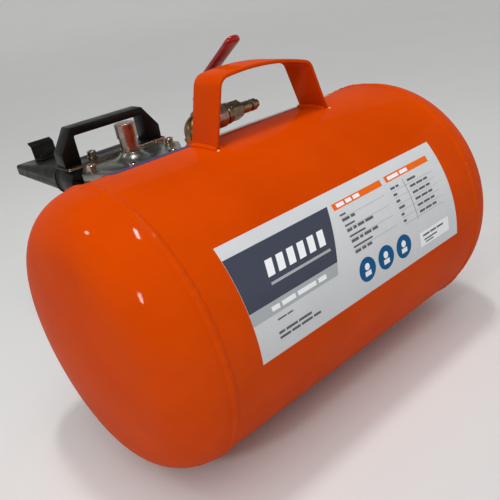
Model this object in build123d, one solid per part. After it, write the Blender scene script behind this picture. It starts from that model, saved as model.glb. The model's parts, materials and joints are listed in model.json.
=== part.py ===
from build123d import *
from math import asin, atan2, cos, degrees, pi, radians, sin, sqrt
import os

# Bead seater blaster tank: a portable steel air tank with a carry handle, a fill line with a ball
# valve, and a quick-release diaphragm valve that feeds a flat nozzle with a rim hook.
# Millimetres. Everything is modelled about the tank: X along the tank axis, z = 0 on the axis, +Y the
# side of the nozzle. save() then lifts it so that the origin is on the floor, under the middle of
# the overall footprint.

# ---- driving dimensions: tank ----
TANK_R = 125.0            # outside radius
WALL = 2.5
HALF_SHELL = 161.9        # the shell's half length, up to the head seams
CROWN_R = 376.0           # outside radius of the heads' crown
KNUCKLE_R = 48.0          # outside radius of the heads' knuckle
AXIS_HEIGHT = 135.0       # tank axis above the floor
REACH_Y = 363.0           # the nozzle's tip, from the tank axis
SEAM_W = 8.0
SEAM_H = 2.0
MID_Y = (REACH_Y - TANK_R - SEAM_H) / 2

# ---- carry handle ----
STRAP_W = 34.0
STRAP_T = 3.0
STRAP_FEET_X = (-58.0, 78.0)
STRAP_TOP = ((-42.5, 177.0), (62.0, 168.5))   # where the legs meet the arch, in X and Z
STRAP_RISE = 5.7
STRAP_BEND = 12.0
STRAP_ROOT = 6.0          # how far the legs are drawn below the tank's top, before trimming
BEAD_R = 2.6              # weld bead at the strap's feet

# ---- feet ----
FOOT_X = 105.0
FOOT_Y = (-40.0, 72.0)
FOOT_W = 40.0
FOOT_T = 4.0
PAD_T = 3.0

# ---- quick-release valve ----
VALVE_X = -23.0
VALVE_Y = 187.0
HEX_R = 64.0              # corner radius of the hexagonal flanges
BOLT_R = 51.0             # radius of the bolt circle
FLANGE_Z = (67.0, 75.0)   # body flange
COVER_Z = (77.0, 84.0)    # cover flange; the diaphragm is clamped in the gap below it
DOME_TOP = 92.0
BOWL_R = 44.5
BOWL_WALL = 5.5
BOWL_BOTTOM = 22.0
SEAT_R = 20.0
PIPE_Z = 42.0             # height of the pipe between tank and valve
PIPE_R = 21.0
M6_HOLE_R = 3.2

# ---- release button ----
HOUSING_R = 10.0
CAP_R = 11.3
CAP_TOP = 122.0
CAP_SKIRT = 15.0
CAP_TRAVEL = 4.0
STEM_R = 2.5

# ---- grip ----
GRIP_X = (-87.0, 41.0)
GRIP_Y = (222.0, 243.0)
GRIP_WINDOW_X = (-67.0, 21.0)
GRIP_TOP = 125.5
GRIP_BAR = 8.5
GRIP_SHOULDER = 101.0
PLATE_Y = (213.0, 249.0)
PLATE_Z = (84.0, 87.0)

# ---- outlet and nozzle ----
DUCT_X = (-89.0, -39.0)
DUCT_Y = (213.0, 250.0)
DUCT_Z = (52.0, 83.7)
DUCT_CORNER = 14.0
DUCT_WALL = 3.0
RING_T = 3.0
TIP_X = (-91.0, -39.0)
TIP_Z = (61.0, 74.0)
HOOK_X = -54.5
HOOK_W = 30.0
HOOK_Y = 351.0
HOOK_H = 16.5             # the plate's height, up to its curled lip
HOOK_T = 2.5

# ---- fill line, laid out standing on top of the tank and then tipped back ----
LINE_TIP = 30.0           # degrees from vertical, towards +Y
LINE_R = 145.0            # fill line's centre, from the tank axis
ELBOW_X = -17.0
VALVE_STEM_X = 10.0
BORE_R = 3.5
BALL_R = 8.0
RUN = 0.05                # radial clearance of running fits

# ---- gauge, relief valve, drain ----
GAUGE_X = 70.0
GAUGE_TIP = 75.0
RELIEF_X = 122.0
RELIEF_Y = 152.0
DRAIN_X = 0.0

# ---- labels ----
LABEL_T = 0.3
FRONT_X = (-132.0, 125.0)
FRONT_SPAN = 42.7         # degrees upward from the tank's side
REAR_X = (-134.0, 120.0)
REAR_ANGLES = (8.3, 22.5)

os.makedirs("parts", exist_ok=True)


def save(name, *solids):
    """Write one node, moved from the tank's axis to the row's origin."""
    flat = []
    for item in solids:
        flat.extend(item.solids())
    moved = [Pos(0, -MID_Y, AXIS_HEIGHT) * one for one in flat]
    shape = moved[0] if len(moved) == 1 else Compound(children=moved)
    export_step(shape, f"parts/{name}.step")


def rod(radius, low, high, axis="z", at=(0, 0)):
    """A cylinder along one axis; at gives its place on the two other axes, in X, Y, Z order."""
    body = Pos(0, 0, (low + high) / 2) * Cylinder(radius, high - low)
    if axis == "x":
        return Pos(0, at[0], at[1]) * (Rot(0, 90, 0) * body)
    if axis == "y":
        return Pos(at[0], 0, at[1]) * (Rot(-90, 0, 0) * body)
    return Pos(at[0], at[1], 0) * body


def tube(outer, inner, low, high, axis="z", at=(0, 0)):
    return rod(outer, low, high, axis, at) - rod(inner, low - 1, high + 1, axis, at)


def block(x, y, z):
    """A box from (low, high) pairs."""
    size = [pair[1] - pair[0] for pair in (x, y, z)]
    middle = [(pair[1] + pair[0]) / 2 for pair in (x, y, z)]
    return Pos(*middle) * Box(*size)


def hexagon(across_flats, low, high, axis="z", at=(0, 0), turn=0.0):
    """A hexagonal prism along one axis."""
    sketch = Rot(0, 0, turn) * RegularPolygon(across_flats / sqrt(3), 6)
    body = Pos(0, 0, low) * extrude(sketch, amount=high - low)
    if axis == "x":
        return Pos(0, at[0], at[1]) * (Rot(0, 90, 0) * body)
    if axis == "y":
        return Pos(at[0], 0, at[1]) * (Rot(-90, 0, 0) * body)
    return Pos(at[0], at[1], 0) * body


def socket_screw(size, head_z, length, washer=0.0):
    """A socket head cap screw pointing down, with its head standing on head_z."""
    head = chamfer(Cylinder(size * 0.83, size).edges().group_by(Axis.Z)[-1], size * 0.08)
    screw = Pos(0, 0, head_z + washer + size / 2) * head
    screw += Pos(0, 0, head_z + washer - length / 2) * Cylinder(size / 2, length)
    socket = extrude(RegularPolygon(size * 0.48, 6), amount=size)
    screw -= Pos(0, 0, head_z + washer + size * 0.5) * socket
    if washer:
        screw += Pos(0, 0, head_z + washer / 2) * Cylinder(size, washer)
    return screw


def spring(radius, wire, low, high, turns):
    """A compression spring about Z, its wire staying between low and high."""
    rise = high - low - 2 * wire
    path = Helix(pitch=rise / turns, height=rise, radius=radius)
    start = path @ 0
    profile = Plane(origin=start, z_dir=path % 0) * Circle(wire)
    return Pos(0, 0, low + wire) * sweep(profile, path=path)


def standing(shape, tip):
    """Tip something that stands on top of the tank back towards +Y, about the tank axis."""
    return Rot(-tip, 0, 0) * shape


# ================= tank =================

def head_profile(grow):
    """One head's outline in its half plane, from the crown to the tangent line, grown outwards."""
    radius = TANK_R + grow
    knuckle = KNUCKLE_R + grow
    crown = CROWN_R + grow
    knuckle_y = radius - knuckle
    crown_centre = -sqrt((crown - knuckle) ** 2 - knuckle_y ** 2)
    lean = atan2(knuckle_y, -crown_centre)
    meet = (crown_centre + crown * cos(lean), crown * sin(lean))
    half = lean / 2
    crown_mid = (crown_centre + crown * cos(half), crown * sin(half))
    turn = (lean + pi / 2) / 2
    knuckle_mid = (knuckle * cos(turn), knuckle_y + knuckle * sin(turn))
    crown_arc = ThreePointArc((crown_centre + crown, 0), crown_mid, meet)
    knuckle_arc = ThreePointArc(meet, knuckle_mid, (0, radius))
    return crown_arc, knuckle_arc


def head(side):
    """A torispherical head, its open rim on the shell's end."""
    outer = head_profile(0)
    inner = head_profile(-WALL)
    edges = [outer[0], outer[1], Line(outer[1] @ 1, inner[1] @ 1)]
    edges += [inner[1], inner[0], Line(inner[0] @ 0, outer[0] @ 0)]
    face = make_face(edges)
    dome = Pos(HALF_SHELL, 0, 0) * revolve(face, Axis.X, 360)
    return dome if side > 0 else mirror(dome, Plane.YZ)


def seam_bead(x):
    """A low weld bead round a head seam."""
    top = ThreePointArc((x - SEAM_W / 2, TANK_R), (x, TANK_R + SEAM_H), (x + SEAM_W / 2, TANK_R))
    bead = revolve(make_face([top, Line(top @ 1, top @ 0)]), Axis.X, 360)
    return bead - OUTSIDE


def tank_outer():
    """The tank's outside, as one solid, for cutting what is welded to it."""
    outer = head_profile(0)
    far = (outer[0] @ 0).X
    face = make_face([*outer, Line((0, TANK_R), (0, 0)), Line((0, 0), (far, 0))])
    cap = Pos(HALF_SHELL, 0, 0) * revolve(face, Axis.X, 360)
    return rod(TANK_R, -HALF_SHELL, HALF_SHELL, "x") + cap + mirror(cap, Plane.YZ)


OUTSIDE = tank_outer()
INLET_BUNG_R = 14.0
GAUGE_BUNG_R = 11.0
RELIEF_BUNG_R = 11.0
DRAIN_BUNG_R = 14.0
OUTLET_BUNG_R = 28.0
BUNG_DEPTH = TANK_R - 9.0

shell = tube(TANK_R, TANK_R - WALL, -HALF_SHELL, HALF_SHELL, "x")
shell -= rod(OUTLET_BUNG_R, 60, 140, "y", (VALVE_X, PIPE_Z))
shell -= standing(rod(INLET_BUNG_R, 100, 140, "z", (ELBOW_X, 0)), LINE_TIP)
shell -= standing(rod(GAUGE_BUNG_R, 100, 140, "z", (GAUGE_X, 0)), GAUGE_TIP)
shell -= rod(RELIEF_BUNG_R, 100, 140, "y", (RELIEF_X, 0))
shell -= rod(DRAIN_BUNG_R, -140, -100, "z", (DRAIN_X, 0))
save("tank_shell", shell)
save("head_left", head(-1))
save("head_right", head(1))
save("head_seam_welds", seam_bead(-HALF_SHELL), seam_bead(HALF_SHELL))

# ================= carry handle =================

def strap_outline():
    """The strap's outer outline in the XZ plane, arched on top and closed below the tank's top."""
    roots = []
    for foot_x, (top_x, top_z) in zip(STRAP_FEET_X, STRAP_TOP):
        lean = (top_x - foot_x) / (top_z - TANK_R)
        roots.append((foot_x - lean * STRAP_ROOT, TANK_R - STRAP_ROOT))
    left, right = STRAP_TOP
    crest = ((left[0] + right[0]) / 2, (left[1] + right[1]) / 2 + STRAP_RISE)
    edges = [Line(roots[0], left), ThreePointArc(left, crest, right)]
    edges += [Line(right, roots[1]), Line(roots[1], roots[0])]
    return make_face(edges)


def carry_handle():
    outline = strap_outline()
    corners = [v for v in outline.vertices() if v.Y > TANK_R]
    outer = fillet(corners, STRAP_BEND)
    inner = offset(outer, -STRAP_T)
    inner += Pos(0, -STRAP_T) * inner
    strap = Rot(90, 0, 0) * extrude(outer - inner, amount=STRAP_W / 2, both=True)
    return strap - OUTSIDE


def handle_weld(x, strap):
    """A fillet bead along one side of a strap foot, following the tank's curve."""
    half = degrees(asin(STRAP_W / 2 / TANK_R))
    profile = Pos(x, 0, TANK_R + 0.6) * (Rot(90, 0, 0) * Circle(BEAD_R))
    bead = Rot(-half, 0, 0) * revolve(profile, Axis.X, 2 * half)
    return bead - OUTSIDE - strap


strap = carry_handle()
save("carry_handle", strap)
left_foot, right_foot = STRAP_FEET_X
bead_rows = (left_foot - 0.8, left_foot + STRAP_T + 1.2, right_foot - STRAP_T - 1.2, right_foot + 0.8)
save("handle_welds", *[handle_weld(x, strap) for x in bead_rows])

# ================= feet =================

def foot(x):
    """A bent-up channel whose two webs are cut to the tank's curve."""
    low = -AXIS_HEIGHT + PAD_T
    channel = block((x - FOOT_W / 2, x + FOOT_W / 2), FOOT_Y, (low, -95))
    inside = (x - FOOT_W / 2 + FOOT_T, x + FOOT_W / 2 - FOOT_T)
    channel -= block(inside, (FOOT_Y[0] - 1, FOOT_Y[1] + 1), (low + FOOT_T, -90))
    return channel - rod(TANK_R, x - 40, x + 40, "x")


def foot_pad(x):
    body = block((x - FOOT_W / 2 + 2, x + FOOT_W / 2 - 2), (FOOT_Y[0] + 2, FOOT_Y[1] - 2),
                 (-AXIS_HEIGHT, -AXIS_HEIGHT + PAD_T))
    return fillet(body.edges().filter_by(Axis.Z), 4)


save("foot_left", foot(-FOOT_X))
save("foot_right", foot(FOOT_X))
save("foot_pads", foot_pad(-FOOT_X), foot_pad(FOOT_X))

# ================= weld-in bungs and drain =================

outlet_bung = tube(OUTLET_BUNG_R, PIPE_R, 88, 128, "y", (VALVE_X, PIPE_Z))
outlet_bung -= rod(TANK_R - 9, VALVE_X - 60, VALVE_X + 60, "x")
save("outlet_bung", outlet_bung)


def top_bung(radius, bore, x, height):
    """A round weld-in bung standing on top of the tank."""
    body = tube(radius, bore, 100, TANK_R + height, "z", (x, 0))
    return body - rod(BUNG_DEPTH, x - 40, x + 40, "x")


INLET_THREAD_R = 8.5
GAUGE_THREAD_R = 5.0
save("inlet_bung", standing(top_bung(INLET_BUNG_R, INLET_THREAD_R, ELBOW_X, 5), LINE_TIP))
save("service_bungs",
     standing(top_bung(GAUGE_BUNG_R, GAUGE_THREAD_R, GAUGE_X, 5), GAUGE_TIP),
     standing(top_bung(RELIEF_BUNG_R, GAUGE_THREAD_R, RELIEF_X, 5), 90),
     standing(top_bung(DRAIN_BUNG_R, 7.0, DRAIN_X, 2), 180))
drain_plug = rod(7.0, -TANK_R - 2, -TANK_R + 8, "z", (DRAIN_X, 0))
drain_plug += rod(10.0, -TANK_R - 5, -TANK_R - 2, "z", (DRAIN_X, 0))
drain_plug -= Pos(DRAIN_X, 0, -TANK_R - 6) * extrude(RegularPolygon(4.6, 6), amount=7)
save("drain_plug", drain_plug)

# ================= quick-release valve =================

AT_VALVE = (VALVE_X, VALVE_Y)
ALL_ANGLES = range(0, 360, 60)


def at_bolts(angles, make):
    """Place copies on the valve's bolt circle."""
    return [Pos(VALVE_X + BOLT_R * cos(radians(a)), VALVE_Y + BOLT_R * sin(radians(a)), 0) * make
            for a in angles]


def flange(low, high, corner=9.0):
    """The hexagonal outline shared by body, diaphragm and cover, with its six bolt holes."""
    plate = Pos(VALVE_X, VALVE_Y, low) * extrude(RegularPolygon(HEX_R, 6), amount=high - low)
    plate = fillet(plate.edges().filter_by(Axis.Z), corner)
    drill = Pos(0, 0, (low + high) / 2) * Cylinder(M6_HOLE_R, high - low + 2)
    for hole in at_bolts(ALL_ANGLES, drill):
        plate -= hole
    return plate


PORT_DIRECTION = 132.0    # where the outlet passage leaves the bowl, degrees from +X
PORT_W = 34.0
PORT_Z = (35.0, 51.0)


def port(width, z, reach):
    """A box from the valve's centre out towards the outlet elbow."""
    arm = Pos(reach / 2, 0, (z[0] + z[1]) / 2) * Box(reach, width, z[1] - z[0])
    return Pos(VALVE_X, VALVE_Y, 0) * (Rot(0, 0, PORT_DIRECTION) * arm)


bowl = rod(BOWL_R, BOWL_BOTTOM, FLANGE_Z[0], "z", AT_VALVE)
bowl = fillet(bowl.edges().group_by(Axis.Z)[0], 8)
passage = port(PORT_W, PORT_Z, 60)
passage_wall = port(PORT_W + 6, (PORT_Z[0] - 3, PORT_Z[1] + 3), BOWL_R)
boss = rod(PIPE_R + 5, 133, 160, "y", (VALVE_X, PIPE_Z))
for pocket in at_bolts((240, 300), Pos(0, 0, FLANGE_Z[0] - 4) * Cylinder(6.6, 8)):
    boss -= pocket
body = bowl + flange(*FLANGE_Z) + boss
body -= rod(BOWL_R - BOWL_WALL, BOWL_BOTTOM + 6, FLANGE_Z[1] + 1, "z", AT_VALVE)
seat_tube = rod(SEAT_R + 3, BOWL_BOTTOM + 4, FLANGE_Z[1] - 3, "z", AT_VALVE)
body += seat_tube + (passage_wall & rod(BOWL_R - 1, BOWL_BOTTOM, FLANGE_Z[0], "z", AT_VALVE))
body -= rod(SEAT_R, BOWL_BOTTOM + 10, FLANGE_Z[1] + 1, "z", AT_VALVE)
body -= passage
body -= rod(PIPE_R, 130, 150, "y", (VALVE_X, PIPE_Z))
body -= rod(PIPE_R - 4, 140, VALVE_Y - SEAT_R - 4, "y", (VALVE_X, PIPE_Z))
save("valve_body", body)

nipple = tube(PIPE_R, PIPE_R - 3.5, 100, 149, "y", (VALVE_X, PIPE_Z))
save("outlet_nipple", nipple)

save("valve_seat", tube(SEAT_R + 3, SEAT_R, FLANGE_Z[1] - 3, FLANGE_Z[1], "z", AT_VALVE))

RIM_R = 38.0
rim = flange(FLANGE_Z[1], COVER_Z[0]) - rod(RIM_R, FLANGE_Z[1] - 1, COVER_Z[0] + 1, "z", AT_VALVE)
save("diaphragm_rim", rim)
DISC_R = RIM_R - 0.5
disc = rod(DISC_R, FLANGE_Z[1], COVER_Z[0], "z", AT_VALVE)
save("diaphragm_disc", disc)
BACKING_R = 30.0
BACKING_T = 1.5
backing = rod(BACKING_R, COVER_Z[0], COVER_Z[0] + BACKING_T, "z", AT_VALVE)
save("diaphragm_plate", backing)

# cover: hexagonal flange with a low swelling round the button, hollow beneath
CAVITY_TOP = 82.0
SWELL_R = (25.0, 16.5, 11.5)       # at the flange, halfway up and at the top
SWELL_MID_Z = 86.6
SPRING_POCKET_R = 14.0
SPRING_POCKET_TOP = 86.0
HOUSING_SPIGOT_R = 8.0
cover = flange(*COVER_Z)
root_z = COVER_Z[1] - 2            # the swelling is sunk this far into the flange, so that they fuse
swell = ThreePointArc((SWELL_R[0], COVER_Z[1]), (SWELL_R[1], SWELL_MID_Z), (SWELL_R[2], DOME_TOP))
closing = Polyline((SWELL_R[2], DOME_TOP), (0, DOME_TOP), (0, root_z), (SWELL_R[0], root_z),
                   (SWELL_R[0], COVER_Z[1]))
swell_face = make_face([swell, *closing.edges()])
cover += Pos(VALVE_X, VALVE_Y, 0) * revolve(Rot(90, 0, 0) * swell_face, Axis.Z, 360)
cover -= rod(RIM_R, COVER_Z[0] - 1, CAVITY_TOP, "z", AT_VALVE)
cover -= rod(SPRING_POCKET_R, COVER_Z[0] - 1, SPRING_POCKET_TOP, "z", AT_VALVE)
cover -= rod(HOUSING_SPIGOT_R, CAVITY_TOP - 1, DOME_TOP + 1, "z", AT_VALVE)
save("valve_cover", cover)

M6_SIZE = 6.0
M6_WASHER = 1.2
NUT_H = 5.0
NUT_ACROSS = 10.0
COVER_ANGLES = (0, 180, 240, 300)
GRIP_ANGLES = (60, 120)
save("cover_bolts", *at_bolts(COVER_ANGLES, socket_screw(M6_SIZE, COVER_Z[1], 25, M6_WASHER)))
save("grip_bolts", *at_bolts(GRIP_ANGLES, socket_screw(M6_SIZE, PLATE_Z[1], 28, M6_WASHER)))
nut = hexagon(NUT_ACROSS, FLANGE_Z[0] - NUT_H, FLANGE_Z[0])
nut -= rod(M6_SIZE / 2, FLANGE_Z[0] - 2 * NUT_H, FLANGE_Z[0] + 1)
save("flange_nuts", *at_bolts(ALL_ANGLES, nut))

# ================= release button =================

CAP_ROOF = 3.0
HOUSING_TOP = CAP_TOP - CAP_ROOF - CAP_TRAVEL
HOUSING_FLOOR = 98.0
HOUSING_FOOT = 86.5                # the spigot's lower end, inside the cover
COLLAR_R = HOUSING_R + 1.4
COLLAR_H = 3.2
SPRING_WELL_R = 7.0
PILOT_WELL_R = 5.0
housing = rod(HOUSING_R, DOME_TOP, HOUSING_TOP, "z", AT_VALVE)
housing += rod(COLLAR_R, DOME_TOP, DOME_TOP + COLLAR_H, "z", AT_VALVE)
housing += rod(HOUSING_SPIGOT_R, HOUSING_FOOT, DOME_TOP, "z", AT_VALVE)
housing -= rod(SPRING_WELL_R, HOUSING_FLOOR, HOUSING_TOP + 1, "z", AT_VALVE)
housing -= rod(STEM_R + RUN, HOUSING_FOOT - 1, HOUSING_FLOOR + 1, "z", AT_VALVE)
housing -= rod(PILOT_WELL_R, HOUSING_FOOT - 1, DOME_TOP, "z", AT_VALVE)
save("button_housing", housing)

cap = rod(CAP_R, CAP_TOP - CAP_SKIRT, CAP_TOP, "z", AT_VALVE)
cap = fillet(cap.edges().group_by(Axis.Z)[-1], 1.2)
cap -= rod(HOUSING_R + RUN, CAP_TOP - CAP_SKIRT - 1, CAP_TOP - CAP_ROOF, "z", AT_VALVE)
save("release_button", cap)

STEM_HEAD_R = 4.0
STEM_HEAD_Z = (89.2, 91.0)
SEAL_T = 1.0
stem_rod = rod(STEM_R, STEM_HEAD_Z[1], CAP_TOP - CAP_ROOF, "z", AT_VALVE)
save("button_stem", stem_rod + rod(STEM_HEAD_R, *STEM_HEAD_Z, "z", AT_VALVE))
save("pilot_seal", tube(STEM_HEAD_R - 0.1, STEM_R, STEM_HEAD_Z[1], STEM_HEAD_Z[1] + SEAL_T, "z", AT_VALVE))
button_coil = spring(4.9, 0.55, HOUSING_FLOOR, CAP_TOP - CAP_ROOF, 7)
save("button_spring", Pos(VALVE_X, VALVE_Y, 0) * button_coil)
diaphragm_coil = spring(12.5, 0.7, COVER_Z[0] + BACKING_T, SPRING_POCKET_TOP, 2.5)
save("diaphragm_spring", Pos(VALVE_X, VALVE_Y, 0) * diaphragm_coil)

# ================= grip =================

plate = block((GRIP_X[0] - 1, GRIP_X[1]), PLATE_Y, PLATE_Z)
plate = fillet(plate.edges().filter_by(Axis.Z), 3)
tab_x = (GRIP_X[1] - 14, GRIP_X[1] - 3)     # a tab bent down in front of the cover's corner
tab_y = (PLATE_Y[0], PLATE_Y[0] + 3)
plate += block(tab_x, tab_y, (PLATE_Z[0] - 8, PLATE_Z[0] + 1))
for hole in at_bolts(GRIP_ANGLES, Pos(0, 0, PLATE_Z[0]) * Cylinder(M6_HOLE_R, 12)):
    plate -= hole
save("grip_plate", plate)

GRIP_SLANT = 18.0
grip_points = [(GRIP_X[0], PLATE_Z[1]), (GRIP_X[0], GRIP_SHOULDER), (GRIP_X[0] + GRIP_SLANT, GRIP_TOP),
               (GRIP_X[1] - GRIP_SLANT, GRIP_TOP), (GRIP_X[1], GRIP_SHOULDER), (GRIP_X[1], PLATE_Z[1]),
               (GRIP_WINDOW_X[1], PLATE_Z[1]), (GRIP_WINDOW_X[1], GRIP_TOP - GRIP_BAR),
               (GRIP_WINDOW_X[0], GRIP_TOP - GRIP_BAR), (GRIP_WINDOW_X[0], PLATE_Z[1])]
grip_face = make_face(Polyline(*grip_points, close=True))
grip = Pos(0, GRIP_Y[1], 0) * (Rot(90, 0, 0) * extrude(grip_face, amount=GRIP_Y[1] - GRIP_Y[0]))
long_edges = [e for e in grip.edges().filter_by(Axis.Y) if e.center().Z > PLATE_Z[1] + 1]
grip = fillet(long_edges, 2.0)
save("grip_handle", grip)

# ================= outlet duct and nozzle =================

def rounded_section(x, z, y, radius):
    """A rectangle with round corners, standing in the XZ plane at y."""
    sketch = RectangleRounded(x[1] - x[0], z[1] - z[0], radius)
    middle = Vector((x[0] + x[1]) / 2, y, (z[0] + z[1]) / 2)
    return Plane(origin=middle, x_dir=(1, 0, 0), z_dir=(0, -1, 0)) * sketch


def inset(pair, by):
    return (pair[0] + by, pair[1] - by)


def duct_box(by, start, end):
    """The visible upper box of the outlet elbow, or its hollow when by is the wall."""
    section = rounded_section(inset(DUCT_X, by), inset(DUCT_Z, by), end, DUCT_CORNER - by)
    return extrude(section, amount=end - start)


def cut_for_valve(by):
    """Room for the valve's flange, bowl and the nut under the flange, grown by a wall."""
    low = FLANGE_Z[0] - GAP - by
    hexagonal = Pos(VALVE_X, VALVE_Y, low) * extrude(RegularPolygon(HEX_R + 0.6 + by * 1.15, 6), amount=40)
    round_bowl = rod(BOWL_R + by, 20, low + 1, "z", AT_VALVE)
    nut_room = at_bolts((120,), Pos(0, 0, low - 3) * Cylinder(8.0 + by, 8 + by))[0]
    return hexagonal + round_bowl + nut_room


GAP = 0.3
SUMP_X = (-78.0, -40.0)
SUMP_Y = (206.0, 248.0)
SUMP_Z = (31.0, 53.5)
duct = duct_box(0, *DUCT_Y)
sump_top = DUCT_Z[0] + DUCT_CORNER
duct += block(SUMP_X, SUMP_Y, (SUMP_Z[0], sump_top))
duct -= cut_for_valve(0)
hollow = duct_box(DUCT_WALL, DUCT_Y[0] + DUCT_WALL, DUCT_Y[1] + 1)
sump_hollow_z = (SUMP_Z[0] + DUCT_WALL, sump_top)
hollow += block(inset(SUMP_X, DUCT_WALL), inset(SUMP_Y, DUCT_WALL), sump_hollow_z)
hollow -= cut_for_valve(DUCT_WALL)
duct = duct - hollow - passage
save("outlet_elbow", duct)

RING_Y = DUCT_Y[1]
gasket = extrude(rounded_section(DUCT_X, DUCT_Z, RING_Y + RING_T, DUCT_CORNER), amount=RING_T)
bore_x, bore_z = inset(DUCT_X, DUCT_WALL), inset(DUCT_Z, DUCT_WALL)
bore = rounded_section(bore_x, bore_z, RING_Y + RING_T + 1, DUCT_CORNER - DUCT_WALL)
gasket -= extrude(bore, amount=RING_T + 2)
save("duct_gasket", gasket)


def nozzle_shell(by, start, end, corner):
    """The nozzle's outside, or its inside when by is the wall thickness."""
    root = rounded_section(inset(DUCT_X, by), inset(DUCT_Z, by), start, corner)
    tip = rounded_section(inset(TIP_X, by), inset(TIP_Z, by * 0.8), end, 3.0 if by == 0 else 2.0)
    return loft([root, tip])


NOZZLE_Y = RING_Y + RING_T
nozzle = nozzle_shell(0, NOZZLE_Y, REACH_Y, DUCT_CORNER)
COLLAR = 1.2              # the nozzle's root collar stands this proud at the sides and below
COLLAR_LEN = 3.0
collar_z = (DUCT_Z[0] - COLLAR, DUCT_Z[1])
collar = rounded_section(inset(DUCT_X, -COLLAR), collar_z, NOZZLE_Y + COLLAR_LEN, DUCT_CORNER)
nozzle += extrude(collar, amount=COLLAR_LEN)
nozzle -= nozzle_shell(DUCT_WALL, NOZZLE_Y, REACH_Y, DUCT_CORNER - DUCT_WALL)

# rim hook: an L foot screwed on the nozzle's sloping top, an upright plate and a curled lip
SLOPE = degrees(atan2(DUCT_Z[1] - TIP_Z[1], REACH_Y - NOZZLE_Y))
TOP_AT_HOOK = DUCT_Z[1] - (HOOK_Y - NOZZLE_Y) * (DUCT_Z[1] - TIP_Z[1]) / (REACH_Y - NOZZLE_Y)
HOOK_FOOT = 22.0
hook_points = [(-HOOK_FOOT, 0), (0, 0), (0, HOOK_H), (6.5, HOOK_H + 3.5), (5.4, HOOK_H + 5.7),
               (-HOOK_T, HOOK_H + 1.5), (-HOOK_T, HOOK_T), (-HOOK_FOOT, HOOK_T)]
hook_face = Plane.YZ * make_face(Polyline(*hook_points, close=True))
hook = extrude(hook_face, amount=HOOK_W / 2, both=True)
HOOK_SCREWS = (-8.0, 8.0)
for x in HOOK_SCREWS:
    hook -= Pos(x, -13, 0) * Cylinder(2.2, 12)
to_hook = Pos(HOOK_X, HOOK_Y, TOP_AT_HOOK) * Rot(-SLOPE, 0, 0)
save("rim_hook", to_hook * hook)
hook_screws = [to_hook * (Pos(x, -13, 0) * socket_screw(4.0, HOOK_T, 4.5)) for x in HOOK_SCREWS]
save("hook_screws", *hook_screws)
for screw in hook_screws:
    nozzle -= screw
save("nozzle", nozzle)

# ================= fill line =================

def on_line(shape):
    return standing(shape, LINE_TIP)


AXIS_AT = (0, LINE_R)
BODY_X = (-5.0, 22.0)
SEAT_REACH = BALL_R - 0.5
TAIL_RING_X = (25.0, 29.5)
elbow = rod(INLET_THREAD_R, TANK_R - 4, TANK_R + 8, "z", (ELBOW_X, 0))
elbow += hexagon(17, TANK_R + 6.5, TANK_R + 12, "z", (ELBOW_X, 0))
elbow += rod(9.5, TANK_R + 8, LINE_R, "z", (ELBOW_X, 0))
elbow += Pos(ELBOW_X, 0, LINE_R) * Sphere(9.5)
elbow += rod(9.5, ELBOW_X, BODY_X[0] - 3, "x", AXIS_AT)
elbow += rod(11.8, BODY_X[0] - 4, BODY_X[0], "x", AXIS_AT)
elbow -= rod(BORE_R, TANK_R - 6, LINE_R, "z", (ELBOW_X, 0))
elbow -= Pos(ELBOW_X, 0, LINE_R) * Sphere(BORE_R)
elbow -= rod(BORE_R, ELBOW_X, 2, "x", AXIS_AT)
save("inlet_elbow", on_line(elbow))

valve = rod(11.5, BODY_X[0], BODY_X[1], "x", AXIS_AT)
valve += hexagon(23, BODY_X[0], BODY_X[0] + 5, "x", AXIS_AT)
valve += rod(6.0, LINE_R, LINE_R + 18, "z", (VALVE_STEM_X, 0))
valve -= rod(BALL_R + 2, VALVE_STEM_X - SEAT_REACH, BODY_X[1] + 1, "x", AXIS_AT)
valve -= rod(BORE_R, BODY_X[0] - 1, VALVE_STEM_X, "x", AXIS_AT)
valve -= rod(3.0 + RUN, LINE_R, LINE_R + 19, "z", (VALVE_STEM_X, 0))
save("ball_valve_body", on_line(valve))

ball = Pos(VALVE_STEM_X, 0, LINE_R) * Sphere(BALL_R)
ball -= rod(BORE_R, -20, 20, "y", (VALVE_STEM_X, LINE_R))
ball -= Pos(VALVE_STEM_X, 0, LINE_R + BALL_R) * Box(2.4, 2 * BALL_R, 3.2)
save("valve_ball", on_line(ball))


seat = tube(BALL_R + 2, BORE_R + 0.6, VALVE_STEM_X - SEAT_REACH, VALVE_STEM_X - 4.6, "x", AXIS_AT)
seat -= Pos(VALVE_STEM_X, 0, LINE_R) * Sphere(BALL_R + RUN)
save("ball_seats", on_line(seat), on_line(mirror(seat, Plane.YZ.offset(VALVE_STEM_X))))

stem = rod(3.0, LINE_R + BALL_R, LINE_R + 24, "z", (VALVE_STEM_X, 0))
stem += Pos(VALVE_STEM_X, 0, LINE_R + BALL_R - 0.6) * Box(2.2, 5.6, 1.8)
stem += rod(2.4, LINE_R + 24, LINE_R + 31, "z", (VALVE_STEM_X, 0))
save("valve_stem", on_line(stem))

tail = rod(9.5, BODY_X[1], TAIL_RING_X[0], "x", AXIS_AT)
tail += rod(BALL_R + 2, VALVE_STEM_X + SEAT_REACH, BODY_X[1], "x", AXIS_AT)
tail += rod(10.4, *TAIL_RING_X, "x", AXIS_AT)
tail -= rod(BORE_R, VALVE_STEM_X + 6.0, TAIL_RING_X[1] + 1, "x", AXIS_AT)
save("ball_valve_tailpiece", on_line(tail))

ADAPTER_X = (TAIL_RING_X[1], 44.0)
adapter = hexagon(17, ADAPTER_X[0] + 1, ADAPTER_X[1], "x", AXIS_AT)
adapter += rod(7.6, ADAPTER_X[0], ADAPTER_X[0] + 1, "x", AXIS_AT)
adapter -= rod(BORE_R, ADAPTER_X[0] - 1, ADAPTER_X[1] + 1, "x", AXIS_AT)
save("hex_adapter", on_line(adapter))

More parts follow.
